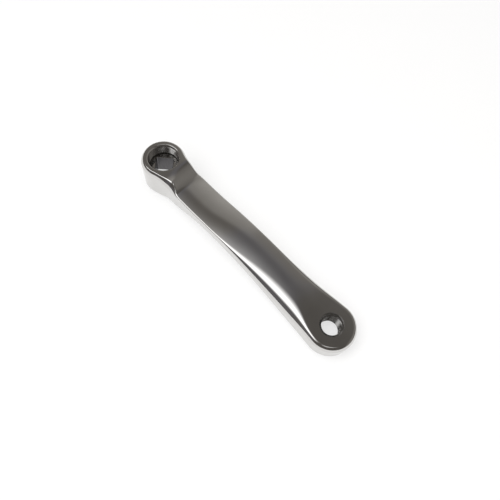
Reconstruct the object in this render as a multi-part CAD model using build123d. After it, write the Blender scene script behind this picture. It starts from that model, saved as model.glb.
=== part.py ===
from build123d import *
from collections import namedtuple
from math import atan2, degrees, hypot, pi, radians, sin, sqrt, tan
import os

# Bicycle crank arm, the plain left-hand one: a single forged and plated piece, in millimetres.
# Design frame: spindle axis on Z, inboard land at Z = 0, pedal axis parallel at X = crank_length.
# The finished arm is then laid down as it comes to rest on its inboard side.
# Its two sides differ: near is the side towards -Y, far is the side towards +Y.

# Main sizes
crank_length = 170.0        # spindle axis to pedal axis
boss_d = 33.0               # round big end
boss_h = 25.5               # inboard land to outboard rim
eye_d = 34.6                # round pedal end
eye_t = 14.0                # thickness of the pedal end
eye_rise = 0.0              # outboard face of the eye above the boss rim
arm_w = 25.6                # width of the straight part of the arm
arm_t = 10.5                # thickness of the slim part of the arm

# Plan outline blends
neck_blend_r = 50.0         # hollow side of the neck, boss to arm
flare_r = 900.0             # long hollow flare, arm to eye

# Outboard face in side view: it falls behind the boss rim, climbs back, then levels at the eye
neck_dip = 4.2
arm_dip = 0.7               # what is left of the fall at mid-arm
neck_roll = 1.0             # in the neck the far edge lies this much below the near edge
arm_roll = 0.5              # at mid-arm the near edge lies this much below the far edge
near_dip_gap = 2.0          # on the near edge the fall starts this far outside the boss edge
near_dip_run = 12.0
far_dip_lead = 5.0          # on the far edge the fall starts this far inside the boss edge
far_dip_run = 15.0
face_climb_run = 64.0
eye_climb_run = 55.0
eye_flat = 15.0             # level face this far before the pedal axis

# Underside in side view: a quick heel outside the land, a long slope, then the eye
heel_rise = 3.6
heel_lead = 5.5             # the heel starts this far inside the land edge
heel_run = 11.0
slope_lead = 2.5            # the slope starts this far inside the land edge
slope_run = 58.0
eye_under_run = 66.0

# Rounded shoulders between the outboard face and the side walls, from boss to eye.
# In the neck and in the bevel the near side is cut back further than the far side.
boss_shoulder_across = 2.3
boss_shoulder_down = 3.8
near_neck_across = 4.6
near_neck_down = 6.2
far_neck_across = 2.0
far_neck_down = 2.2
slim_shoulder_across = 1.3  # small edge round of the slim arm
slim_shoulder_down = 1.6
near_bevel_across = 9.1     # the broad soft bevel towards the pedal end
near_bevel_down = 6.8
far_bevel_across = 4.6
far_bevel_down = 5.5
eye_shoulder_across = 3.0
eye_shoulder_down = 4.0
boss_fullness = 0.34        # handle length as a share of the shoulder: less is flatter
neck_fullness = 0.40
arm_fullness = 0.5523       # a cubic with this handle follows a quarter ellipse
eye_fullness = 0.50
neck_lead = 8.5             # the neck shoulder starts to form this far inside the boss edge
neck_run = 15.5
slim_gap = 4.5              # the slim shoulder starts to form this far outside the boss edge
slim_run = 10.5
near_bevel_lead = 108.0     # the bevel starts to broaden this far before the pedal axis
near_bevel_run = 80.0
far_bevel_lead = 84.0
far_bevel_run = 62.0
eye_shoulder_lead = 32.0    # the eye shoulder starts to form this far before the pedal axis
eye_shoulder_run = 32.0

# Side walls, lower corners and swell of the face
wall_draft_deg = 1.5        # forged walls lean in towards the underside
boss_toe = 1.1              # flat on the lower corner
arm_toe = 1.7
toe_lead = 8.5              # the lower corner starts to grow this far inside the boss edge
toe_run = 22.0
crown_r = 115.0             # the face swells to this radius across the arm
crown_gap = 4.0             # the swell starts this far outside the boss edge
crown_run = 14.0
crown_fade_run = 32.0

# Extractor recess, spindle socket and inboard land
extractor_d = 22.0          # M22 x 1 thread, cut to the major diameter
extractor_depth = 9.0
extractor_chamfer = 0.8
socket_flats = 12.7         # across flats at the recess floor
socket_taper_deg = 2.0      # each flat leans out towards the inboard land
socket_corner_r = 0.8
socket_turn_deg = 45.0      # a corner points along the arm
land_margin = 2.0           # land edge inside the boss edge
land_step = 0.5             # land stands proud of the forged underside
land_chamfer = 0.4
land_root = 6.0             # how far the land's body reaches up into the boss

# Pedal hole
pedal_d = 14.3              # 9/16 inch x 20 thread, cut to the major diameter
pedal_chamfer = 0.85

# Loft
section_pitch = 7.75        # mean distance between the sections of the loft
end_bunching = 0.70
cut_past = 1.0              # cutters run this far past the faces they open

boss_r = boss_d / 2
eye_r = eye_d / 2
arm_half = arm_w / 2
land_r = boss_r - land_margin
eye_top = boss_h + eye_rise
eye_under = eye_top - eye_t
arm_under = boss_h - arm_dip - arm_t
draft = tan(radians(wall_draft_deg))
section_count = round(crank_length / section_pitch)

# Plan outline: circle, hollow neck arc, straight, hollow flare arc, circle, all tangent
neck_cy = arm_half + neck_blend_r
neck_x = sqrt(max((boss_r + neck_blend_r) ** 2 - neck_cy ** 2, 0.0))
boss_leave_x = neck_x * boss_r / (boss_r + neck_blend_r)
flare_cy = arm_half + flare_r
flare_x = crank_length - sqrt(max((eye_r + flare_r) ** 2 - flare_cy ** 2, 0.0))
eye_meet_x = crank_length - (crank_length - flare_x) * eye_r / (eye_r + flare_r)

# Where each change along the arm starts
near_dip_x = boss_r + near_dip_gap
far_dip_x = boss_r - far_dip_lead
face_climb_x = near_dip_x + near_dip_run
eye_climb_x = crank_length - eye_flat - eye_climb_run
heel_x = land_r - heel_lead
slope_x = land_r - slope_lead
eye_under_x = crank_length - eye_flat - eye_under_run
neck_shoulder_x = boss_r - neck_lead
slim_x = boss_r + slim_gap
near_bevel_x = crank_length - near_bevel_lead
far_bevel_x = crank_length - far_bevel_lead
eye_shoulder_x = crank_length - eye_shoulder_lead
toe_x = boss_r - toe_lead
crown_x = boss_r + crown_gap
crown_fade_x = crank_length - eye_flat - crown_fade_run

# What each side has of its own; across and down list the boss, neck, slim arm, bevelled arm and eye
Side = namedtuple("Side", "out across down neck_dip arm_dip dip_x dip_run bevel_x bevel_run")
near = Side(
    out=-1,
    across=(boss_shoulder_across, near_neck_across, slim_shoulder_across, near_bevel_across, eye_shoulder_across),
    down=(boss_shoulder_down, near_neck_down, slim_shoulder_down, near_bevel_down, eye_shoulder_down),
    neck_dip=neck_dip - neck_roll / 2,
    arm_dip=arm_dip + arm_roll / 2,
    dip_x=near_dip_x,
    dip_run=near_dip_run,
    bevel_x=near_bevel_x,
    bevel_run=near_bevel_run,
)
far = Side(
    out=1,
    across=(boss_shoulder_across, far_neck_across, slim_shoulder_across, far_bevel_across, eye_shoulder_across),
    down=(boss_shoulder_down, far_neck_down, slim_shoulder_down, far_bevel_down, eye_shoulder_down),
    neck_dip=neck_dip + neck_roll / 2,
    arm_dip=arm_dip - arm_roll / 2,
    dip_x=far_dip_x,
    dip_run=far_dip_run,
    bevel_x=far_bevel_x,
    bevel_run=far_bevel_run,
)
fullness = (boss_fullness, neck_fullness, arm_fullness, arm_fullness, eye_fullness)


def half_width(x):
    """Half the width of the plan outline at x, with its slope."""
    if x < boss_leave_x:
        y = sqrt(boss_r ** 2 - x ** 2)
        return y, -x / y
    if x < neck_x:
        rise = sqrt(neck_blend_r ** 2 - (x - neck_x) ** 2)
        return neck_cy - rise, (x - neck_x) / rise
    if x <= flare_x:
        return arm_half, 0.0
    if x <= eye_meet_x:
        rise = sqrt(flare_r ** 2 - (x - flare_x) ** 2)
        return flare_cy - rise, (x - flare_x) / rise
    y = sqrt(eye_r ** 2 - (x - crank_length) ** 2)
    return y, (crank_length - x) / y


def ease(x, start, run):
    """Smooth step from 0 at start to 1 a run later, with no kink in slope or curvature."""
    u = min(max((x - start) / run, 0.0), 1.0)
    return u ** 3 * (10 - 15 * u + 6 * u ** 2)


def face_height(x, side):
    """Height of the outboard face along one of its edges, before its swell."""
    fall = side.neck_dip * ease(x, side.dip_x, side.dip_run)
    fall -= (side.neck_dip - side.arm_dip) * ease(x, face_climb_x, face_climb_run)
    fall -= (side.arm_dip + eye_rise) * ease(x, eye_climb_x, eye_climb_run)
    return boss_h - fall


def under_height(x):
    """Height of the forged underside."""
    up = land_step + heel_rise * ease(x, heel_x, heel_run)
    up += (arm_under - land_step - heel_rise) * ease(x, slope_x, slope_run)
    return up + (eye_under - arm_under) * ease(x, eye_under_x, eye_under_run)


def staged(x, side, sizes):
    """A shoulder size that passes from boss to neck to slim arm to bevelled arm to eye."""
    boss, neck, slim, bevel, eye = sizes
    size = boss + (neck - boss) * ease(x, neck_shoulder_x, neck_run)
    size += (slim - neck) * ease(x, slim_x, slim_run)
    size += (bevel - slim) * ease(x, side.bevel_x, side.bevel_run)
    return size + (eye - bevel) * ease(x, eye_shoulder_x, eye_shoulder_run)


def crown(x):
    """Curvature of the outboard face across the arm, none at the boss and the eye."""
    return ease(x, crown_x, crown_run) * (1 - ease(x, crown_fade_x, crown_fade_run)) / crown_r


def shoulder_across(x, side):
    """Width of the shoulder across the arm."""
    slope = half_width(x)[1]
    return staged(x, side, side.across) * hypot(1.0, slope)


def face_reach(x, side):
    """How far the outboard face reaches out from the centre line."""
    return half_width(x)[0] - shoulder_across(x, side)


def face_tilt(x):
    """Rise of the outboard face across the arm, from the near edge to the far edge."""
    return (face_height(x, far) - face_height(x, near)) / (face_reach(x, far) + face_reach(x, near))


def half_section(x, side):
    """One side of the section at x as named (Y, Z) points, from the crest down to the sole."""
    width = half_width(x)[0]
    across = shoulder_across(x, side)
    down = staged(x, side, side.down)
    round_share = staged(x, side, fullness)
    toe = boss_toe + (arm_toe - boss_toe) * ease(x, toe_x, toe_run)
    top = face_height(x, side)
    sole = under_height(x)
    reach = face_reach(x, side)
    foot_z = sole + toe
    foot_y = width - draft * (top - down - foot_z)
    brim = Vector(side.out * reach, top - crown(x) * reach ** 2 / 2)
    edge = Vector(side.out * width, top - down)
    brim_way = Vector(side.out, side.out * face_tilt(x) - crown(x) * reach).normalized()
    wall_way = Vector(side.out * draft, 1.0).normalized()
    return {
        "top": Vector(0.0, top),
        "brim": brim,
        "brim_handle": brim + brim_way * (round_share * across),
        "edge_handle": edge + wall_way * (round_share * down),
        "edge": edge,
        "foot": Vector(side.out * foot_y, foot_z),
        "heel": Vector(side.out * (foot_y - toe), sole),
        "sole": Vector(0.0, sole),
    }


def shoulder_to_heel(half):
    """Shoulder round, side wall and lower corner of one side."""
    shoulder = Bezier(half["brim"], half["brim_handle"], half["edge_handle"], half["edge"])
    wall = Line(half["edge"], half["foot"])
    toe = Line(half["foot"], half["heel"])
    return [shoulder, wall, toe]


def full_section(x):
    """Closed section of the arm in the plane across it at x."""
    near_half = half_section(x, near)
    far_half = half_section(x, far)
    near_y = near_half["brim"].X
    far_y = far_half["brim"].X
    crest_z = (face_height(x, near) + face_height(x, far)) / 2 - crown(x) * near_y * far_y / 2
    crest = Bezier(near_half["brim"], Vector((near_y + far_y) / 2, crest_z), far_half["brim"])
    sole = Line(far_half["heel"], near_half["heel"])
    edges = [crest, sole] + shoulder_to_heel(near_half) + shoulder_to_heel(far_half)
    return Plane.YZ.offset(x) * make_face(edges)


def round_end(x, start_deg):
    """Half-round end of the arm: the half section at x turned half a revolution about its axis."""
    half = half_section(x, far)
    face = Line(half["top"], half["brim"])
    sole = Line(half["heel"], half["sole"])
    axis = Line(half["sole"], half["top"])
    profile = Plane.XZ * make_face([face, sole, axis] + shoulder_to_heel(half))
    return Pos(x, 0, 0) * Rot(0, 0, start_deg) * revolve(profile, Axis.Z, revolution_arc=180)


def station(k):
    """Place of section k along the arm, closer together towards both ends."""
    u = k / section_count
    return crank_length * (u - end_bunching * sin(2 * pi * u) / (2 * pi))


def upright(solid_type, *sizes):
    """A cutter standing on its own base."""
    return solid_type(*sizes, align=(Align.CENTER, Align.CENTER, Align.MIN))


# Forged body: lofted arm between two half-round ends
sections = [full_section(station(k)) for k in range(section_count + 1)]
body = loft(sections) + round_end(0.0, 90) + round_end(crank_length, -90)

# Machined land around the socket on the inboard side
land = upright(Cylinder, land_r, land_root)
land = chamfer(land.edges().group_by(Axis.Z)[0], land_chamfer)
body += land

# Extractor recess with its lead-in chamfer
extractor_r = extractor_d / 2
recess_floor = boss_h - extractor_depth
recess = Pos(0, 0, recess_floor) * upright(Cylinder, extractor_r, extractor_depth + cut_past)
recess_mouth = extractor_chamfer + cut_past
recess_lead = Pos(0, 0, boss_h - extractor_chamfer) * upright(
    Cone, extractor_r, extractor_r + recess_mouth, recess_mouth
)


def socket_square(z):
    """Rounded square of the taper socket at height z, wider towards the inboard land."""
    flats = socket_flats + 2 * tan(radians(socket_taper_deg)) * (recess_floor - z)
    return Pos(0, 0, z) * Rot(0, 0, socket_turn_deg) * RectangleRounded(flats, flats, socket_corner_r)


socket = loft([socket_square(-cut_past), socket_square(recess_floor + cut_past)])

# Pedal hole with a lead-in chamfer at each face
pedal_r = pedal_d / 2
pedal_mouth = pedal_chamfer + cut_past
pedal_hole = Pos(crank_length, 0, eye_under - cut_past) * upright(Cylinder, pedal_r, eye_t + 2 * cut_past)
pedal_lead_out = Pos(crank_length, 0, eye_top - pedal_chamfer) * upright(
    Cone, pedal_r, pedal_r + pedal_mouth, pedal_mouth
)
pedal_lead_in = Pos(crank_length, 0, eye_under - cut_past) * upright(
    Cone, pedal_r + pedal_mouth, pedal_r, pedal_mouth
)

crank = body - recess - recess_lead - socket - pedal_hole - pedal_lead_out - pedal_lead_in

# Lay the arm down: it rests on the edge of the inboard land and on the lower corner of the eye
land_edge = land_r - land_chamfer
eye_corner_x = crank_length + half_section(crank_length, far)["heel"].X
lean_deg = degrees(atan2(eye_under, eye_corner_x - land_edge))
crank = Rot(0, lean_deg, 0) * crank

os.makedirs("parts", exist_ok=True)
export_step(crank, "parts/crank_arm.step")
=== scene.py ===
from math import ceil, pi, radians, tan
import bmesh
import bpy
import numpy as np
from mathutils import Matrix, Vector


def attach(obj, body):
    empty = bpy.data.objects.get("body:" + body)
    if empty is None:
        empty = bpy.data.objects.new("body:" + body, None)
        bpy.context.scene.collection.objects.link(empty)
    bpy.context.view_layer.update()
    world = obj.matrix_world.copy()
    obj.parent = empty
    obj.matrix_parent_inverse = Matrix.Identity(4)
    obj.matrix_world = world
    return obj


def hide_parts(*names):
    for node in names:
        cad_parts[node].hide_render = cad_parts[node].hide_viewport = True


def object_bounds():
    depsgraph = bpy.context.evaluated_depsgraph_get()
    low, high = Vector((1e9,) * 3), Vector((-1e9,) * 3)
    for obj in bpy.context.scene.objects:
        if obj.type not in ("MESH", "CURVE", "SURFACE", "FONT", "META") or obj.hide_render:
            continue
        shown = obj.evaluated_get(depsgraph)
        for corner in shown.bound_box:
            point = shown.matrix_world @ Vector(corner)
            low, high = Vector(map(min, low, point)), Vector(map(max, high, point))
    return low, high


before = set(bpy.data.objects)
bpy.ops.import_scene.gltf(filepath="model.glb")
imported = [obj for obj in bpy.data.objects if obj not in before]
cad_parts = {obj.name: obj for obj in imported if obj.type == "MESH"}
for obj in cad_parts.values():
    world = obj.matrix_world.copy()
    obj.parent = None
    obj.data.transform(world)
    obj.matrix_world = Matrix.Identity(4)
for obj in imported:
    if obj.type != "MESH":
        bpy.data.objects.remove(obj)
cad_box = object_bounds()

MM = 0.001
DEGREES = 180.0 / pi
TINY = 1e-9

# Sizes of the arm in millimetres, in its design frame: spindle axis on Z, inboard land at Z = 0,
# pedal axis parallel at X = CRANK_LENGTH. They repeat the sizes that the solid was made with.
CRANK_LENGTH = 170.0
BOSS_R = 33.0 / 2
BOSS_H = 25.5
EYE_R = 34.6 / 2
EYE_T = 14.0
ARM_HALF = 25.6 / 2
ARM_T = 10.5
NECK_BLEND_R = 50.0
FLARE_R = 900.0
# Fall of the outboard face below the boss at the neck and on the arm, and its roll from edge to edge
NECK_DIP, NECK_ROLL = 4.2, 1.0
ARM_DIP, ARM_ROLL = 0.7, 0.5
NEAR_NECK_DIP, FAR_NECK_DIP = NECK_DIP - NECK_ROLL / 2, NECK_DIP + NECK_ROLL / 2
NEAR_ARM_DIP, FAR_ARM_DIP = ARM_DIP + ARM_ROLL / 2, ARM_DIP - ARM_ROLL / 2
NEAR_DIP_X, NEAR_DIP_RUN = BOSS_R + 2.0, 12.0
FAR_DIP_X, FAR_DIP_RUN = BOSS_R - 5.0, 15.0
FACE_CLIMB_RUN = 64.0
EYE_CLIMB_RUN = 55.0
EYE_FLAT = 15.0
HEEL_RISE, HEEL_LEAD, HEEL_RUN = 3.6, 5.5, 11.0
SLOPE_LEAD, SLOPE_RUN = 2.5, 58.0
EYE_UNDER_RUN = 66.0
# Shoulder sizes of the boss, neck, slim arm, bevelled arm and eye, on the near (-Y) and far (+Y) side
NEAR_ACROSS = (2.3, 4.6, 1.3, 9.1, 3.0)
NEAR_DOWN = (3.8, 6.2, 1.6, 6.8, 4.0)
FAR_ACROSS = (2.3, 2.0, 1.3, 4.6, 3.0)
FAR_DOWN = (3.8, 2.2, 1.6, 5.5, 4.0)
FULLNESS = (0.34, 0.40, 0.5523, 0.5523, 0.50)   # handle length as a share of the shoulder
NEAR_STARTS = (BOSS_R - 8.5, BOSS_R + 4.5, CRANK_LENGTH - 108.0, CRANK_LENGTH - 32.0)
NEAR_RUNS = (15.5, 10.5, 80.0, 32.0)
FAR_STARTS = (BOSS_R - 8.5, BOSS_R + 4.5, CRANK_LENGTH - 84.0, CRANK_LENGTH - 32.0)
FAR_RUNS = (15.5, 10.5, 62.0, 32.0)
WALL_DRAFT = tan(radians(1.5))
BOSS_TOE, ARM_TOE, TOE_FULLNESS = 1.1, 1.7, 0.15
TOE_LEAD, TOE_RUN = 8.5, 22.0
CROWN_R, CROWN_GAP, CROWN_RUN, CROWN_FADE_RUN = 115.0, 4.0, 14.0, 32.0
EXTRACTOR_R, EXTRACTOR_DEPTH, EXTRACTOR_CHAMFER = 22.0 / 2, 9.0, 0.8
SOCKET_FLATS, SOCKET_TAPER, SOCKET_CORNER_R = 12.7, tan(radians(2.0)), 0.8
LAND_R, LAND_STEP, LAND_CHAMFER = BOSS_R - 2.0, 0.5, 0.4
PEDAL_R, PEDAL_CHAMFER = 14.3 / 2, 0.85

# Threads: pitch, depth and hand (1 winds as a common screw, -1 the other way)
EXTRACTOR_THREAD = (1.0, 0.60, 1)
PEDAL_THREAD = (1.27, 0.76, -1)
# Form of a thread: shares of its wave that are flat root and flank, and pitches that it takes to fade in
THREAD_ROOT, THREAD_FLANK, THREAD_FADE = 0.13, 0.69, 0.6

# Small forms of the machined edges, in millimetres
EDGE_SOFT = 0.12                                    # round of a plain edge
MOUTH_RING, MOUTH_SOFT = 0.5, 0.8                   # flat ring round the recess, round of its mouth
EYE_RING = 0.3                                      # flat ring round the pedal hole
BORE_LEAD = 0.2                                     # plain wall between a chamfer and its thread
FOOT_LEAD, FOOT_RING, FOOT_SOFT = 0.3, 1.0, 0.2     # foot of the recess: plain wall, flat ring, round
LIP_DEPTH, LIP_SPREAD = 0.3, 1.05                   # upper lip of the socket: depth, size over the socket's
LOW_LIP_DEPTH, LOW_LIP_SPREAD = 0.2, 1.03           # the same for its lower lip
SEAT_RING, STEP_LEAD = 0.3, 0.05                    # flat ring inside the land's chamfer, wall above it

# Fineness of the surfaces
SIDE_STEP = 0.6                                     # millimetres along the arm
END_STEPS = 96                                      # in half a turn
ACROSS_STEPS = 24
SHOULDER_ROWS, WALL_ROWS, TOE_ROWS = 28, 10, 8
RING_ROWS = 12
THREAD_ROWS = 8                                     # in one pitch
BED_ROWS, SOCKET_ROWS, SEAT_ROWS, STEP_ROWS = 4, 12, 6, 4
BEND_ROWS, BEND_LIMIT = 4, 0.45                     # of a small round: rows, largest share of a straight
BOSS_CUT_X = 24.0                                   # where rings round the boss give way to lines across
WELD_GAP = 5e-6                                     # metres; nearer points become one
SHARP_DEG = 25.0                                    # edges that turn by more stay crisp

PLATED, MACHINED, BROACHED = 0, 1, 2                # material slots of the skin

# Metals: darker and brighter tone, least roughness and what marks add to it, strength and metres of relief
PLATED_TONES = (0.58, 0.57, 0.555, 1.0), (0.68, 0.675, 0.665, 1.0)
MACHINED_TONES = (0.28, 0.275, 0.27, 1.0), (0.42, 0.415, 0.405, 1.0)
# Socket tones: the steel's own broached colour darkened as painted shade of the deep socket
BROACHED_SHADE_TONES = (0.10, 0.097, 0.10, 1.0), (0.20, 0.195, 0.20, 1.0)
PLATED_ROUGHNESS, CLOUD_ROUGHNESS, LINE_ROUGHNESS = 0.05, 0.05, 0.03
MACHINED_ROUGHNESS, MARK_ROUGHNESS = 0.16, 0.12
BROACHED_ROUGHNESS, BROACH_ROUGHNESS = 0.26, 0.16
PLATED_RELIEF, MACHINED_RELIEF, BROACHED_RELIEF = (0.05, 0.0002), (0.1, 0.0002), (0.1, 0.0001)
LINE_RELIEF = 0.1                                   # share of the polishing lines in the plating's relief
ALONG_ARM, ALONG_SOCKET = (60.0, 900.0, 900.0), (900.0, 900.0, 40.0)

# Camera: place in metres, turn in degrees, lens and sensor in millimetres
CAMERA_PLACE, CAMERA_TURN = (0.209490, -0.119182, 0.313195), (28.58276, -1.62967, 46.82176)
CAMERA_LENS, CAMERA_SENSOR, CAMERA_NEAR = 35.6716, 36.0, 0.01

# Board under the arm: half its width in metres, its tone, mottle and glow up to white
FLOOR_HALF, FLOOR_COLOUR, FLOOR_MOTTLE, FLOOR_GLOW = 1.2, 0.43, 0.01, 0.57

# Lamp overhead: distance in metres, angles in degrees, azimuth from +X towards +Y
CEILING_DISTANCE, CEILING_AZIMUTH, CEILING_ELEVATION = 1.2, -80.0, 70.0
CEILING_SPREAD, CEILING_RADIANCE = 80.0, 1.6

# Room: a pair says where a smooth step is 0 and where it is 1. SIDE, LEFT and RIGHT are shares of a
# direction along the arm, negative towards the boss's end. The other pairs are degrees of tilt about the
# arm, from 0 at the near horizon to 180 at the far one.
ROOM_LIGHT, DIM_SHARE, DIM_SIDE, DIM_END = 0.148, 0.25, (-0.25, 0.0), (118.0, 113.0)
WINDOW_LIGHT, WINDOW_SILL, WINDOW_HEAD = 1.8, (40.0, 64.0), (104.0, 68.0)
WINDOW_LEFT, WINDOW_RIGHT = (-0.58, -0.47), (0.16, -0.20)
SPILL_LIGHT, SPILL_HEAD, SPILL_GAIN, SPILL_SIDE = 0.16, (110.0, 97.0), 0.5, (-0.28, -0.16)
NARROW_LIGHT, NARROW_SILL, NARROW_HEAD = 0.85, (62.0, 72.0), (102.0, 90.0)
NARROW_LEFT, NARROW_RIGHT = (0.18, 0.30), (0.46, 0.36)
GLOW_LIGHT, GLOW_START = 0.12, (110.5, 115.5)
FAR_GLOW_LIGHT, FAR_GLOW_START = 0.225, (113.0, 137.0)
GLOW_FOOT, GLOW_SIDE, GLOW_REST = (168.0, 150.0), (-0.12, -0.34), 0.3
COOL_LEFT, COOL_RIGHT, COOL_END = (-0.42, -0.28), (-0.06, -0.14), (120.0, 112.0)
ROOM_TINT, COOL_TINT, GLOW_TINT = (1.0, 0.93, 0.855), (1.0, 0.965, 1.0), (1.0, 0.975, 0.93)


def ease(x, start, run):
    """Smooth step u^3 (10 - 15 u + 6 u^2), u going from 0 at start to 1 a run later."""
    u = np.clip((x - start) / run, 0.0, 1.0)
    return u ** 3 * (10 - 15 * u + 6 * u ** 2)


def half_width(x):
    """Half the plan width at x and its slope: circle, hollow neck arc, straight, hollow flare, circle."""
    neck_cy = ARM_HALF + NECK_BLEND_R
    neck_x = np.sqrt((BOSS_R + NECK_BLEND_R) ** 2 - neck_cy ** 2)
    leave_x = neck_x * BOSS_R / (BOSS_R + NECK_BLEND_R)
    flare_cy = ARM_HALF + FLARE_R
    flare_x = CRANK_LENGTH - np.sqrt((EYE_R + FLARE_R) ** 2 - flare_cy ** 2)
    meet_x = CRANK_LENGTH - (CRANK_LENGTH - flare_x) * EYE_R / (EYE_R + FLARE_R)
    where = [x < leave_x, x < neck_x, x <= flare_x, x <= meet_x]
    boss = np.sqrt(np.maximum(BOSS_R ** 2 - x ** 2, TINY))
    neck = np.sqrt(np.maximum(NECK_BLEND_R ** 2 - (x - neck_x) ** 2, TINY))
    flare = np.sqrt(np.maximum(FLARE_R ** 2 - (x - flare_x) ** 2, TINY))
    eye = np.sqrt(np.maximum(EYE_R ** 2 - (x - CRANK_LENGTH) ** 2, TINY))
    straight = np.full_like(x, ARM_HALF)
    width = np.select(where, [boss, neck_cy - neck, straight, flare_cy - flare], eye)
    slopes = [-x / boss, (x - neck_x) / neck, np.zeros_like(x), (x - flare_x) / flare]
    return width, np.select(where, slopes, (CRANK_LENGTH - x) / eye)


def face_height(x, side):
    """Outboard face along its near edge (side -1) or far edge (side 1), before its swell: a fall behind
    the boss rim, a long climb, then level at the eye."""
    near_fall, far_fall = ease(x, NEAR_DIP_X, NEAR_DIP_RUN), ease(x, FAR_DIP_X, FAR_DIP_RUN)
    fall = np.where(side > 0, FAR_NECK_DIP * far_fall, NEAR_NECK_DIP * near_fall)
    neck_dip = np.where(side > 0, FAR_NECK_DIP, NEAR_NECK_DIP)
    arm_dip = np.where(side > 0, FAR_ARM_DIP, NEAR_ARM_DIP)
    fall -= (neck_dip - arm_dip) * ease(x, NEAR_DIP_X + NEAR_DIP_RUN, FACE_CLIMB_RUN)
    fall -= arm_dip * ease(x, CRANK_LENGTH - EYE_FLAT - EYE_CLIMB_RUN, EYE_CLIMB_RUN)
    return BOSS_H - fall


def under_height(x):
    """Forged underside: a quick heel outside the land, a long slope, then the eye."""
    arm_under = BOSS_H - ARM_DIP - ARM_T
    up = LAND_STEP + HEEL_RISE * ease(x, LAND_R - HEEL_LEAD, HEEL_RUN)
    up += (arm_under - LAND_STEP - HEEL_RISE) * ease(x, LAND_R - SLOPE_LEAD, SLOPE_RUN)
    eye_under = BOSS_H - EYE_T
    return up + (eye_under - arm_under) * ease(x, CRANK_LENGTH - EYE_FLAT - EYE_UNDER_RUN, EYE_UNDER_RUN)


def staged(x, sizes, starts, runs):
    """A shoulder size that passes smoothly from boss to neck to slim arm to bevelled arm to eye."""
    size = np.full_like(x, sizes[0])
    for start, run, before, after in zip(starts, runs, sizes, sizes[1:]):
        size += (after - before) * ease(x, start, run)
    return size


def sided(x, side, near_sizes, far_sizes):
    """A staged size taken from the far side where side is positive and from the near side elsewhere."""
    return np.where(side > 0, staged(x, far_sizes, FAR_STARTS, FAR_RUNS),
                    staged(x, near_sizes, NEAR_STARTS, NEAR_RUNS))


def shoulder_across(x, side):
    """Width of the shoulder across the arm."""
    return sided(x, side, NEAR_ACROSS, FAR_ACROSS) * np.hypot(1.0, half_width(x)[1])


def brim_edge(x, side):
    """How far the outboard face reaches out at x."""
    return half_width(x)[0] - shoulder_across(x, side)


def face_tilt(x):
    """Rise of the outboard face across the arm, from its near edge to its far edge."""
    return (face_height(x, 1) - face_height(x, -1)) / (brim_edge(x, 1) + brim_edge(x, -1))


def crown(x):
    """Curvature of the face across the arm: none at the boss and the eye, 1 / CROWN_R between them."""
    rise = ease(x, BOSS_R + CROWN_GAP, CROWN_RUN)
    return rise * (1 - ease(x, CRANK_LENGTH - EYE_FLAT - CROWN_FADE_RUN, CROWN_FADE_RUN)) / CROWN_R


def flank(x, side):
    """Corner points of one side's section at x, as arrays of (out, up): brim, edge, foot, heel."""
    width = half_width(x)[0]
    across = shoulder_across(x, side)
    down = sided(x, side, NEAR_DOWN, FAR_DOWN)
    toe = BOSS_TOE + (ARM_TOE - BOSS_TOE) * ease(x, BOSS_R - TOE_LEAD, TOE_RUN)
    top, under = face_height(x, side), under_height(x)
    reach = width - across
    brim = np.stack([reach, top - crown(x) * reach ** 2 / 2], -1)
    edge = np.stack([width, top - down], -1)
    foot = np.stack([width - WALL_DRAFT * (edge[:, 1] - under - toe), under + toe], -1)
    heel = np.stack([foot[:, 0] - toe, under], -1)
    return brim, edge, foot, heel, across[:, None], down[:, None], toe[:, None]


def heel_edge(x, side):
    """How far the underside reaches out at x."""
    return flank(x, side)[3][:, 0]


def cubic(a, b, c, d, rows):
    """Cubic through a and d with handles b and c: (1-t)^3 a + 3t(1-t)^2 b + 3t^2(1-t) c + t^3 d."""
    t = np.linspace(0.0, 1.0, rows + 1)[None, :, None]
    a, b, c, d = (p[:, None, :] for p in (a, b, c, d))
    return (1 - t) ** 3 * a + 3 * t * (1 - t) ** 2 * b + 3 * t ** 2 * (1 - t) * c + t ** 3 * d


def flank_profile(x, side):
    """One side's section at x from the brim down to the heel: shoulder round, side wall, lower corner."""
    brim, edge, foot, heel, across, down, toe = flank(x, side)
    face_way = np.stack([np.ones_like(x), np.sign(side) * face_tilt(x) - crown(x) * brim[:, 0]], -1)
    face_way /= np.linalg.norm(face_way, axis=1)[:, None]
    fullness = staged(x, FULLNESS, NEAR_STARTS, NEAR_RUNS)[:, None]
    wall_way = np.array([WALL_DRAFT, 1.0]) / np.hypot(WALL_DRAFT, 1.0)
    inward = np.array([1.0, 0.0])
    shoulder = cubic(brim, brim + face_way * (fullness * across),
                     edge + wall_way * (fullness * down), edge, SHOULDER_ROWS)
    t = np.linspace(0.0, 1.0, WALL_ROWS + 1)[None, :, None]
    wall = edge[:, None, :] * (1 - t) + foot[:, None, :] * t
    corner = cubic(foot, foot - wall_way * (TOE_FULLNESS * toe), heel + inward * (TOE_FULLNESS * toe),
                   heel, TOE_ROWS)
    return np.concatenate([shoulder, wall[:, 1:], corner[:, 1:]], axis=1)


def resting_lean():
    """Lean of the arm at rest on the edge of its land and the lower corner of its eye: the angle whose
    tangent is the corner's height over its distance from that edge."""
    corner_x = CRANK_LENGTH + heel_edge(np.array([CRANK_LENGTH]), 1)[0]
    return np.arctan2(BOSS_H - EYE_T, corner_x - (LAND_R - LAND_CHAMFER))


def laid_down(points):
    """Turns points of the design frame about Y by the lean of the resting arm, and gives metres."""
    a = resting_lean()
    x, y, z = points[..., 0], points[..., 1], points[..., 2]
    return MM * np.stack([x * np.cos(a) + z * np.sin(a), y, z * np.cos(a) - x * np.sin(a)], -1)


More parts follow.
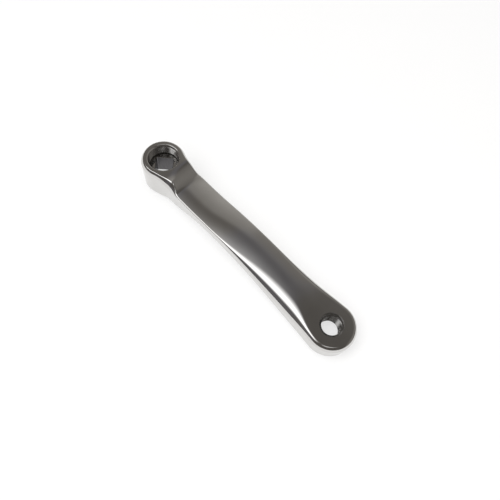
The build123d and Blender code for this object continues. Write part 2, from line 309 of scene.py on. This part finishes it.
class Skin:
    """Gathers grids of points and welds them into one closed mesh."""

    def __init__(self):
        self.points, self.faces, self.slots, self.count = [], [], [], 0

    def add(self, grid, slot, ring=False):
        """Neighbours of the grid become four-sided faces; a ring also joins its last column to its first."""
        rows, columns = grid.shape[:2]
        index = self.count + np.arange(rows * columns).reshape(rows, columns)
        if ring:
            index = np.concatenate([index, index[:, :1]], axis=1)
        quads = np.stack([index[:-1, :-1], index[:-1, 1:], index[1:, 1:], index[1:, :-1]], -1)
        self.points.append(laid_down(grid).reshape(-1, 3))
        self.faces.append(quads.reshape(-1, 4))
        self.slots.append(np.full(quads.size // 4, slot))
        self.count += rows * columns

    def build(self, name, materials):
        """One object of all grids: seams welded, normals outward, sharp edges kept crisp."""
        mesh = bpy.data.meshes.new(name)
        mesh.from_pydata(np.concatenate(self.points), [], np.concatenate(self.faces))
        mesh.polygons.foreach_set("material_index", np.concatenate(self.slots).astype(np.int32))
        for material in materials:
            mesh.materials.append(material)
        welded = bmesh.new()
        welded.from_mesh(mesh)
        bmesh.ops.remove_doubles(welded, verts=welded.verts, dist=WELD_GAP)
        bmesh.ops.recalc_face_normals(welded, faces=welded.faces)
        welded.to_mesh(mesh)
        welded.free()
        mesh.shade_smooth()
        mesh.set_sharp_from_angle(angle=radians(SHARP_DEG))
        piece = bpy.data.objects.new(name, mesh)
        bpy.context.scene.collection.objects.link(piece)
        return piece


def over_plan(plan, height):
    """Points of a face whose height is a function of its plan."""
    x, y = plan[..., 0], plan[..., 1]
    return np.stack([x, y, height(x, y)], -1)


def crest(x, y):
    """Outboard face over the plan: a straight line across from the near edge to the far edge, less half
    the crown times y squared."""
    inside = np.clip(x, 0.0, CRANK_LENGTH)
    line = face_height(inside, -1) + face_tilt(inside) * (y + brim_edge(inside, -1))
    return line - crown(inside) * y ** 2 / 2


def sole(x, y):
    """Forged underside over the plan, level across the arm."""
    return under_height(np.clip(x, 0.0, CRANK_LENGTH))


# Stations along the arm, the ones where the boss's rings end and the eye's rings begin, and half a turn
side_x = np.linspace(0.0, CRANK_LENGTH, ceil(CRANK_LENGTH / SIDE_STEP) + 1)
boss_cut = int(np.searchsorted(side_x, BOSS_CUT_X))
eye_cut = int(np.searchsorted(side_x, CRANK_LENGTH - EYE_FLAT))
half_turn = np.linspace(0.0, pi, END_STEPS + 1)


def perimeter():
    """Once round the arm: the x of the section and the direction it faces, side, eye, side, boss."""
    ones = np.ones_like(side_x)
    x = [side_x, CRANK_LENGTH * np.ones(END_STEPS - 1), side_x[::-1], np.zeros(END_STEPS - 1)]
    way = [pi / 2 * ones, pi / 2 - half_turn[1:-1], -pi / 2 * ones, -pi / 2 - half_turn[1:-1]]
    return np.concatenate(x), np.concatenate(way)


def add_flanks(skin):
    """Shoulders, walls and lower corners: the half section carried once round the arm."""
    x, way = perimeter()
    profile = flank_profile(x, np.sin(way))
    out, up = profile[..., 0], profile[..., 1]
    grid = np.stack([x[:, None] + out * np.cos(way)[:, None], out * np.sin(way)[:, None], up], -1)
    skin.add(np.swapaxes(grid, 0, 1), PLATED, ring=True)


def edge_loop(edge, stations, centre, outward):
    """Edge of a face round one end: far side, across the cut, near side, then the round end."""
    x = side_x[stations]
    far, near = edge(x, 1), -edge(x, -1)
    t = np.linspace(0.0, 1.0, ACROSS_STEPS + 1)[1:-1]
    cut = np.stack([np.full_like(t, x[-1]), far[-1] * (1 - t) + near[-1] * t], -1)
    turn = half_turn[1:-1]
    end = np.stack([centre - outward * far[0] * np.sin(turn), -far[0] * np.cos(turn)], -1)
    return np.concatenate([np.stack([x, far], -1), cut, np.stack([x, near], -1)[::-1], end])


def loop_angles(stations, outward):
    """Evenly spread directions for the points of an edge loop."""
    front = 2 * (len(stations) - 1) + ACROSS_STEPS
    a = np.linspace(pi / 2, -pi / 2, front + 1)
    b = -pi / 2 - half_turn[1:-1]
    turn = np.concatenate([a, b])
    return turn if outward > 0 else pi - turn


def circle(centre, radius, angles):
    """Points of a level circle round (centre, 0)."""
    return np.stack([centre + radius * np.cos(angles), radius * np.sin(angles)], -1)


def between(inner, outer, rows):
    """Straight lines from the inner loop to the outer loop, cut into rows."""
    t = np.linspace(0.0, 1.0, rows + 1)[:, None, None]
    return inner[None] * (1 - t) + outer[None] * t


def rounded(profile, soft):
    """A profile of (radius, height) corners with each inner corner eased by a small quadratic bend."""
    profile = np.asarray(profile, float)
    t = np.linspace(0.0, 1.0, BEND_ROWS + 1)[:, None]
    bends = [profile[:1]]
    for before, corner, after in zip(profile[:-2], profile[1:-1], profile[2:]):
        a = corner + (before - corner) * min(soft / np.linalg.norm(before - corner), BEND_LIMIT)
        b = corner + (after - corner) * min(soft / np.linalg.norm(after - corner), BEND_LIMIT)
        bends.append((1 - t) ** 2 * a + 2 * t * (1 - t) * corner + t ** 2 * b)
    return np.concatenate(bends + [profile[-1:]])


def turned(centre, profile, angles):
    """Surface of revolution: each (radius, height) of the profile carried round the axis at centre."""
    r, z = profile[:, 0][:, None], profile[:, 1][:, None]
    ones = np.ones_like(angles)[None]
    return np.stack([centre + r * np.cos(angles), r * np.sin(angles), z * ones], -1)


def thread(centre, radius, low, high, angles, form):
    """Threaded wall from high down to low: the radius less the depth times a ridge that climbs one
    pitch a turn, a clipped triangle wave of height / pitch - angle / turn, fading out at both ends."""
    pitch, depth, hand = form
    z = np.linspace(high, low, ceil((high - low) / pitch * THREAD_ROWS) + 1)[:, None]
    phase = (z / pitch - hand * angles[None] / (2 * pi)) % 1.0
    ridge = np.clip((1 - abs(2 * phase - 1) - THREAD_ROOT) / THREAD_FLANK, 0.0, 1.0)
    fade = np.clip((z - low) / pitch, 0.0, 1.0) * np.clip((high - z) / (THREAD_FADE * pitch), 0.0, 1.0)
    r = radius - depth * ridge * fade
    return np.stack([centre + r * np.cos(angles), r * np.sin(angles), z * np.ones_like(r)], -1)


def socket_loop(z, angles):
    """Rounded square of the taper socket at height z, with a corner pointing along the arm: half its
    width over the cosine on a flat, and where the ray leaves the corner's circle elsewhere."""
    half = SOCKET_FLATS / 2 + SOCKET_TAPER * (BOSS_H - EXTRACTOR_DEPTH - z)
    c, s = abs(np.cos(angles - pi / 4)), abs(np.sin(angles - pi / 4))
    long, short = np.maximum(c, s), np.minimum(c, s)
    inner = half - SOCKET_CORNER_R
    bend = inner * (c + s) + np.sqrt(np.maximum(SOCKET_CORNER_R ** 2 - (inner * (c - s)) ** 2, 0.0))
    r = np.where(half * short / long <= inner, half / long, bend)
    return np.stack([r * np.cos(angles), r * np.sin(angles)], -1)


def level(loop, z):
    """Plan points at one height."""
    return np.concatenate([loop, np.full(loop.shape[:-1] + (1,), z)], -1)


def add_faces(skin):
    """Outboard face and underside of the arm between the two ends: lines across from edge to edge."""
    x = side_x[boss_cut:eye_cut + 1]
    t = np.linspace(0.0, 1.0, ACROSS_STEPS + 1)[:, None]
    for edge, height in ((brim_edge, crest), (heel_edge, sole)):
        y = edge(x, 1) * t - edge(x, -1) * (1 - t)
        skin.add(over_plan(np.stack([np.broadcast_to(x, y.shape), y], -1), height), PLATED)


def add_recess(skin, stations, angles):
    """Boss face round the recess, rounded mouth, threaded wall, and the foot of that wall."""
    floor_z, mouth = BOSS_H - EXTRACTOR_DEPTH, EXTRACTOR_R + EXTRACTOR_CHAMFER
    lead_z = BOSS_H - EXTRACTOR_CHAMFER
    high, low = lead_z - BORE_LEAD, floor_z + FOOT_LEAD
    ring = circle(0.0, mouth + MOUTH_RING, angles)
    plan = between(ring, edge_loop(brim_edge, stations, 0.0, 1), RING_ROWS)
    skin.add(over_plan(plan, crest), PLATED, ring=True)
    lead = [(mouth + MOUTH_RING, BOSS_H), (mouth, BOSS_H), (EXTRACTOR_R, lead_z), (EXTRACTOR_R, high)]
    skin.add(turned(0.0, rounded(lead, MOUTH_SOFT), angles), PLATED, ring=True)
    skin.add(thread(0.0, EXTRACTOR_R, low, high, angles, EXTRACTOR_THREAD), MACHINED, ring=True)
    foot = [(EXTRACTOR_R, low), (EXTRACTOR_R, floor_z), (EXTRACTOR_R - FOOT_RING, floor_z)]
    skin.add(turned(0.0, rounded(foot, FOOT_SOFT), angles), MACHINED, ring=True)


def low_rim(angles):
    """Mouth of the socket in the inboard land."""
    return socket_loop(0.0, angles) * LOW_LIP_SPREAD


def add_socket(skin, angles):
    """Floor of the recess, and the taper socket with a small lip at each end."""
    floor_z = BOSS_H - EXTRACTOR_DEPTH
    lip_z = floor_z - LIP_DEPTH
    rim = socket_loop(floor_z, angles) * LIP_SPREAD
    bed = between(circle(0.0, EXTRACTOR_R - FOOT_RING, angles), rim, BED_ROWS)
    skin.add(level(bed, floor_z), PLATED, ring=True)
    heights = np.linspace(lip_z, LOW_LIP_DEPTH, SOCKET_ROWS + 1)
    wall = np.stack([level(socket_loop(z, angles), z) for z in heights])
    skin.add(np.stack([level(rim, floor_z), wall[0]]), PLATED, ring=True)
    skin.add(wall, BROACHED, ring=True)
    skin.add(np.stack([wall[-1], level(low_rim(angles), 0.0)]), MACHINED, ring=True)


def add_land(skin, stations, angles):
    """Inboard land round the socket with its chamfer and step, and the underside of the boss outside it."""
    seat_r, step_z = LAND_R - LAND_CHAMFER, LAND_CHAMFER + STEP_LEAD
    seat = between(low_rim(angles), circle(0.0, seat_r - SEAT_RING, angles), SEAT_ROWS)
    skin.add(level(seat, 0.0), MACHINED, ring=True)
    step = [(seat_r - SEAT_RING, 0.0), (seat_r, 0.0), (LAND_R, LAND_CHAMFER), (LAND_R, step_z)]
    skin.add(turned(0.0, rounded(step, EDGE_SOFT), angles), MACHINED, ring=True)
    foot = circle(0.0, LAND_R, angles)
    skin.add(between(level(foot, step_z), over_plan(foot, sole), STEP_ROWS), MACHINED, ring=True)
    plan = between(foot, edge_loop(heel_edge, stations, 0.0, 1), RING_ROWS)
    skin.add(over_plan(plan, sole), PLATED, ring=True)


def add_boss(skin):
    """Boss: face and threaded recess, taper socket, and the land on the inboard side."""
    stations = np.arange(boss_cut + 1)
    angles = loop_angles(stations, 1)
    add_recess(skin, stations, angles)
    add_socket(skin, angles)
    add_land(skin, stations, angles)


def add_eye(skin):
    """Eye: faces round the pedal hole, and the threaded hole with a lead-in chamfer at each face."""
    stations = np.arange(len(side_x) - 1, eye_cut - 1, -1)
    angles = loop_angles(stations, -1)
    mouth, lead_z = PEDAL_R + PEDAL_CHAMFER, PEDAL_CHAMFER + BORE_LEAD
    ring = circle(CRANK_LENGTH, mouth + EYE_RING, angles)
    for edge, height in ((brim_edge, crest), (heel_edge, sole)):
        plan = between(ring, edge_loop(edge, stations, CRANK_LENGTH, -1), RING_ROWS)
        skin.add(over_plan(plan, height), PLATED, ring=True)
    top, under = BOSS_H, BOSS_H - EYE_T
    lead = np.array([(mouth + EYE_RING, 0.0), (mouth, 0.0), (PEDAL_R, PEDAL_CHAMFER), (PEDAL_R, lead_z)])
    down = rounded(lead * (1, -1) + (0, top), EDGE_SOFT)
    up = rounded(lead + (0, under), EDGE_SOFT)
    skin.add(turned(CRANK_LENGTH, down, angles), MACHINED, ring=True)
    skin.add(turned(CRANK_LENGTH, up, angles), MACHINED, ring=True)
    bore = thread(CRANK_LENGTH, PEDAL_R, under + lead_z, top - lead_z, angles, PEDAL_THREAD)
    skin.add(bore, MACHINED, ring=True)


class Value:
    """A shader output; arithmetic on it adds Math nodes to its own tree."""

    def __init__(self, tree, socket):
        self.tree, self.socket = tree, socket

    def _math(self, operation, a, b):
        """A Math node of two values or numbers."""
        return self.tree.node("ShaderNodeMath", {"operation": operation}, {0: a, 1: b})

    def __add__(self, other):
        return self._math("ADD", self, other)

    __radd__ = __add__

    def __rsub__(self, other):
        return self._math("SUBTRACT", other, self)

    def __mul__(self, other):
        return self._math("MULTIPLY", self, other)

    __rmul__ = __mul__

    def at_least(self, least):
        """The larger of this and least."""
        return self._math("MAXIMUM", self, least)

    def arctan2(self, other):
        """Angle in radians whose tangent is this over other."""
        return self._math("ARCTAN2", self, other)

    def step(self, start, end):
        """Smooth step from 0 at start to 1 at end; start may be the larger one."""
        return self.tree.node("ShaderNodeMapRange", {"interpolation_type": "SMOOTHSTEP"},
                              {"Value": self, "From Min": start, "From Max": end})


class Tree:
    """A node tree with one method that adds any node."""

    def __init__(self, tree):
        self.tree = tree
        tree.nodes.clear()

    def node(self, kind, settings=None, sockets=None, out=0):
        """Adds a node, sets its settings, then its sockets to values or links, and gives one output, or a
        list of them where out is a tuple of names."""
        made = self.tree.nodes.new(kind)
        for name, value in (settings or {}).items():
            setattr(made, name, value)
        for name, value in (sockets or {}).items():
            if isinstance(value, Value):
                self.tree.links.new(value.socket, made.inputs[name])
            else:
                made.inputs[name].default_value = value
        if isinstance(out, tuple):
            return [Value(self, made.outputs[name]) for name in out]
        return Value(self, made.outputs[out]) if len(made.outputs) else made


def new_material(name):
    """An empty node material, its tree, and the object's coordinates in that tree."""
    material = bpy.data.materials.new(name)
    material.use_nodes = True
    tree = Tree(material.node_tree)
    return material, tree, tree.node("ShaderNodeTexCoord", out="Object")


def noise(tree, place, scale, detail):
    """Soft noise between 0 and 1."""
    return tree.node("ShaderNodeTexNoise", {}, {"Vector": place, "Scale": scale, "Detail": detail})


def drawn_out(tree, place, scale):
    """Coordinates that stretch what is drawn in them along the axis of the smallest scale."""
    return tree.node("ShaderNodeMapping", {}, {"Vector": place, "Scale": scale})


def metal(tree, tones, blend, roughness, height, relief):
    """Metal that goes from the darker to the brighter tone by blend, with a bump of the given height."""
    strength, depth = relief
    colour = tree.node("ShaderNodeMix", {"data_type": "RGBA"}, {0: blend, 6: tones[0], 7: tones[1]}, out=2)
    bump = tree.node("ShaderNodeBump", {}, {"Strength": strength, "Distance": depth, "Height": height})
    shader = tree.node("ShaderNodeBsdfPrincipled", {}, {
        "Base Color": colour, "Metallic": 1.0, "Roughness": roughness, "Normal": bump})
    tree.node("ShaderNodeOutputMaterial", {}, {"Surface": shader})


def plated_finish():
    """Bright plating over a polished forging: near mirror, with faint clouding, polishing lines along
    the arm and a very fine ripple left by the polishing wheel."""
    material, tree, place = new_material("plated_steel")
    lines = noise(tree, drawn_out(tree, place, ALONG_ARM), scale=6.0, detail=3.0)
    cloud = noise(tree, place, scale=60.0, detail=4.0)
    ripple = noise(tree, place, scale=110.0, detail=1.0)
    roughness = PLATED_ROUGHNESS + CLOUD_ROUGHNESS * cloud + LINE_ROUGHNESS * lines
    metal(tree, PLATED_TONES, cloud, roughness, ripple + LINE_RELIEF * lines, PLATED_RELIEF)
    return material


def machined_finish():
    """Cut metal in the bores and on the land: duller than the plating, with fine tool marks."""
    material, tree, place = new_material("machined_steel")
    marks = noise(tree, place, scale=900.0, detail=2.0)
    cloud = noise(tree, place, scale=150.0, detail=3.0)
    roughness = MACHINED_ROUGHNESS + MARK_ROUGHNESS * marks
    metal(tree, MACHINED_TONES, cloud, roughness, marks, MACHINED_RELIEF)
    return material


def broached_shaded_finish():
    """Steel of the taper socket with lines drawn along it by the broach. Its tones are set very dark as
    painted shade, standing in for the shade deep inside the socket.
    """
    material, tree, place = new_material("broached_steel_painted_shade")
    lines = noise(tree, drawn_out(tree, place, ALONG_SOCKET), scale=2.0, detail=3.0)
    metal(tree, BROACHED_SHADE_TONES, lines, BROACHED_ROUGHNESS + BROACH_ROUGHNESS * lines, lines, BROACHED_RELIEF)
    return material


def floor_finish():
    """Pale board with a very faint mottle; to the camera and in reflections it glows up to white, so
    that the shadow stays on it but only faintly."""
    material, tree, place = new_material("white_board")
    tone = FLOOR_COLOUR + FLOOR_MOTTLE * noise(tree, place, scale=30.0, detail=3.0)
    colour = tree.node("ShaderNodeCombineColor", {}, {"Red": tone, "Green": tone, "Blue": tone})
    board = tree.node("ShaderNodeBsdfPrincipled", {}, {
        "Base Color": colour, "Roughness": 1.0, "Specular IOR Level": 0.0})
    camera, glossy, through = tree.node(
        "ShaderNodeLightPath", out=("Is Camera Ray", "Is Glossy Ray", "Is Transmission Ray"))
    glow = tree.node("ShaderNodeEmission", {}, {"Color": (1.0, 1.0, 1.0, 1.0), "Strength": FLOOR_GLOW})
    seen = tree.node("ShaderNodeMixShader", {}, {0: camera + glossy + through, 2: glow})
    both = tree.node("ShaderNodeAddShader", {}, {0: board, 1: seen})
    tree.node("ShaderNodeOutputMaterial", {}, {"Surface": both})
    return material


def make_floor():
    """Flat board under the arm."""
    z, half = cad_box[0].z, FLOOR_HALF
    mesh = bpy.data.meshes.new("floor")
    corners = [(-half, -half, z), (half, -half, z), (half, half, z), (-half, half, z)]
    mesh.from_pydata(corners, [], [(0, 1, 2, 3)])
    mesh.materials.append(floor_finish())
    board = bpy.data.objects.new("floor", mesh)
    bpy.context.scene.collection.objects.link(board)


def make_camera():
    """Camera where the photograph was taken from."""
    data = bpy.data.cameras.new("camera")
    data.sensor_width, data.lens, data.clip_start = CAMERA_SENSOR, CAMERA_LENS, CAMERA_NEAR
    camera = bpy.data.objects.new("camera", data)
    camera.location = CAMERA_PLACE
    camera.rotation_euler = [radians(a) for a in CAMERA_TURN]
    bpy.context.scene.collection.objects.link(camera)
    bpy.context.scene.camera = camera


def make_ceiling():
    """A broad soft lamp overhead that lights the board; the plating doesn't show it.
    An even lamp of area A has the radiance R when its power is pi A R."""
    azimuth, elevation = radians(CEILING_AZIMUTH), radians(CEILING_ELEVATION)
    flat = np.cos(elevation)
    way = np.array([flat * np.cos(azimuth), flat * np.sin(azimuth), np.sin(elevation)])
    data = bpy.data.lights.new("ceiling", "AREA")
    data.shape = "SQUARE"
    data.size = 2 * CEILING_DISTANCE * tan(radians(CEILING_SPREAD / 2))
    data.energy = pi * data.size ** 2 * CEILING_RADIANCE
    lamp = bpy.data.objects.new("ceiling", data)
    lamp.location = np.array([CRANK_LENGTH / 2 * MM, 0.0, 0.0]) + way * CEILING_DISTANCE
    lamp.rotation_euler = Vector(-way).to_track_quat("-Z", "Y").to_euler()
    lamp.visible_glossy = False
    bpy.context.scene.collection.objects.link(lamp)


def window_light(x, tilt):
    """Tall window on the near side with a soft sill and head, its spill above the head, and a dimmer,
    narrow one towards the eye's end."""
    spill = SPILL_LIGHT * tilt.step(*SPILL_HEAD) * (1.0 + SPILL_GAIN * x.step(*SPILL_SIDE))
    beam = WINDOW_LIGHT * tilt.step(*WINDOW_HEAD) + spill
    window = beam * tilt.step(*WINDOW_SILL) * x.step(*WINDOW_LEFT) * x.step(*WINDOW_RIGHT)
    narrow = NARROW_LIGHT * tilt.step(*NARROW_SILL) * tilt.step(*NARROW_HEAD)
    return window + narrow * x.step(*NARROW_LEFT) * x.step(*NARROW_RIGHT)


def far_glow(x, tilt):
    """Faint glow on the far side that grows in two soft steps, strongest towards the boss's end."""
    wash = GLOW_LIGHT * tilt.step(*GLOW_START) + FAR_GLOW_LIGHT * tilt.step(*FAR_GLOW_START)
    return wash * tilt.step(*GLOW_FOOT) * (GLOW_REST + (1 - GLOW_REST) * x.step(*GLOW_SIDE))


def make_room():
    """A dim warm room with a window and a far glow. Up to overhead it is dimmer towards the eye's end and
    cooler in a band towards the boss's end. Each light is a product of smooth steps of the direction's
    share along the arm and of its tilt about the arm."""
    world = bpy.data.worlds.new("room")
    world.use_nodes = True
    tree = Tree(world.node_tree)
    way = tree.node("ShaderNodeTexCoord", out="Generated")
    x, y, z = tree.node("ShaderNodeSeparateXYZ", {}, {0: way}, out=("X", "Y", "Z"))
    tilt = DEGREES * z.at_least(0.0).arctan2(-1.0 * y)
    window, glow = window_light(x, tilt), far_glow(x, tilt)
    room = ROOM_LIGHT * (1.0 - DIM_SHARE * x.step(*DIM_SIDE) * tilt.step(*DIM_END))
    cool = x.step(*COOL_LEFT) * x.step(*COOL_RIGHT) * tilt.step(*COOL_END)
    tints = zip(("Red", "Green", "Blue"), ROOM_TINT, COOL_TINT, GLOW_TINT)
    channels = {name: room * (warm + (chill - warm) * cool) + window + glow * far
                for name, warm, chill, far in tints}
    colour = tree.node("ShaderNodeCombineColor", {}, channels)
    light = tree.node("ShaderNodeBackground", {}, {"Color": colour, "Strength": 1.0})
    tree.node("ShaderNodeOutputWorld", {}, {"Surface": light})
    bpy.context.scene.world = world


skin = Skin()
add_flanks(skin)
add_faces(skin)
add_boss(skin)
add_eye(skin)
crank = skin.build("crank_arm_plated", [plated_finish(), machined_finish(), broached_shaded_finish()])
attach(crank, "root")
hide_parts("crank_arm")

make_floor()
make_camera()
make_ceiling()
make_room()
bpy.context.scene.view_settings.view_transform = "Standard"
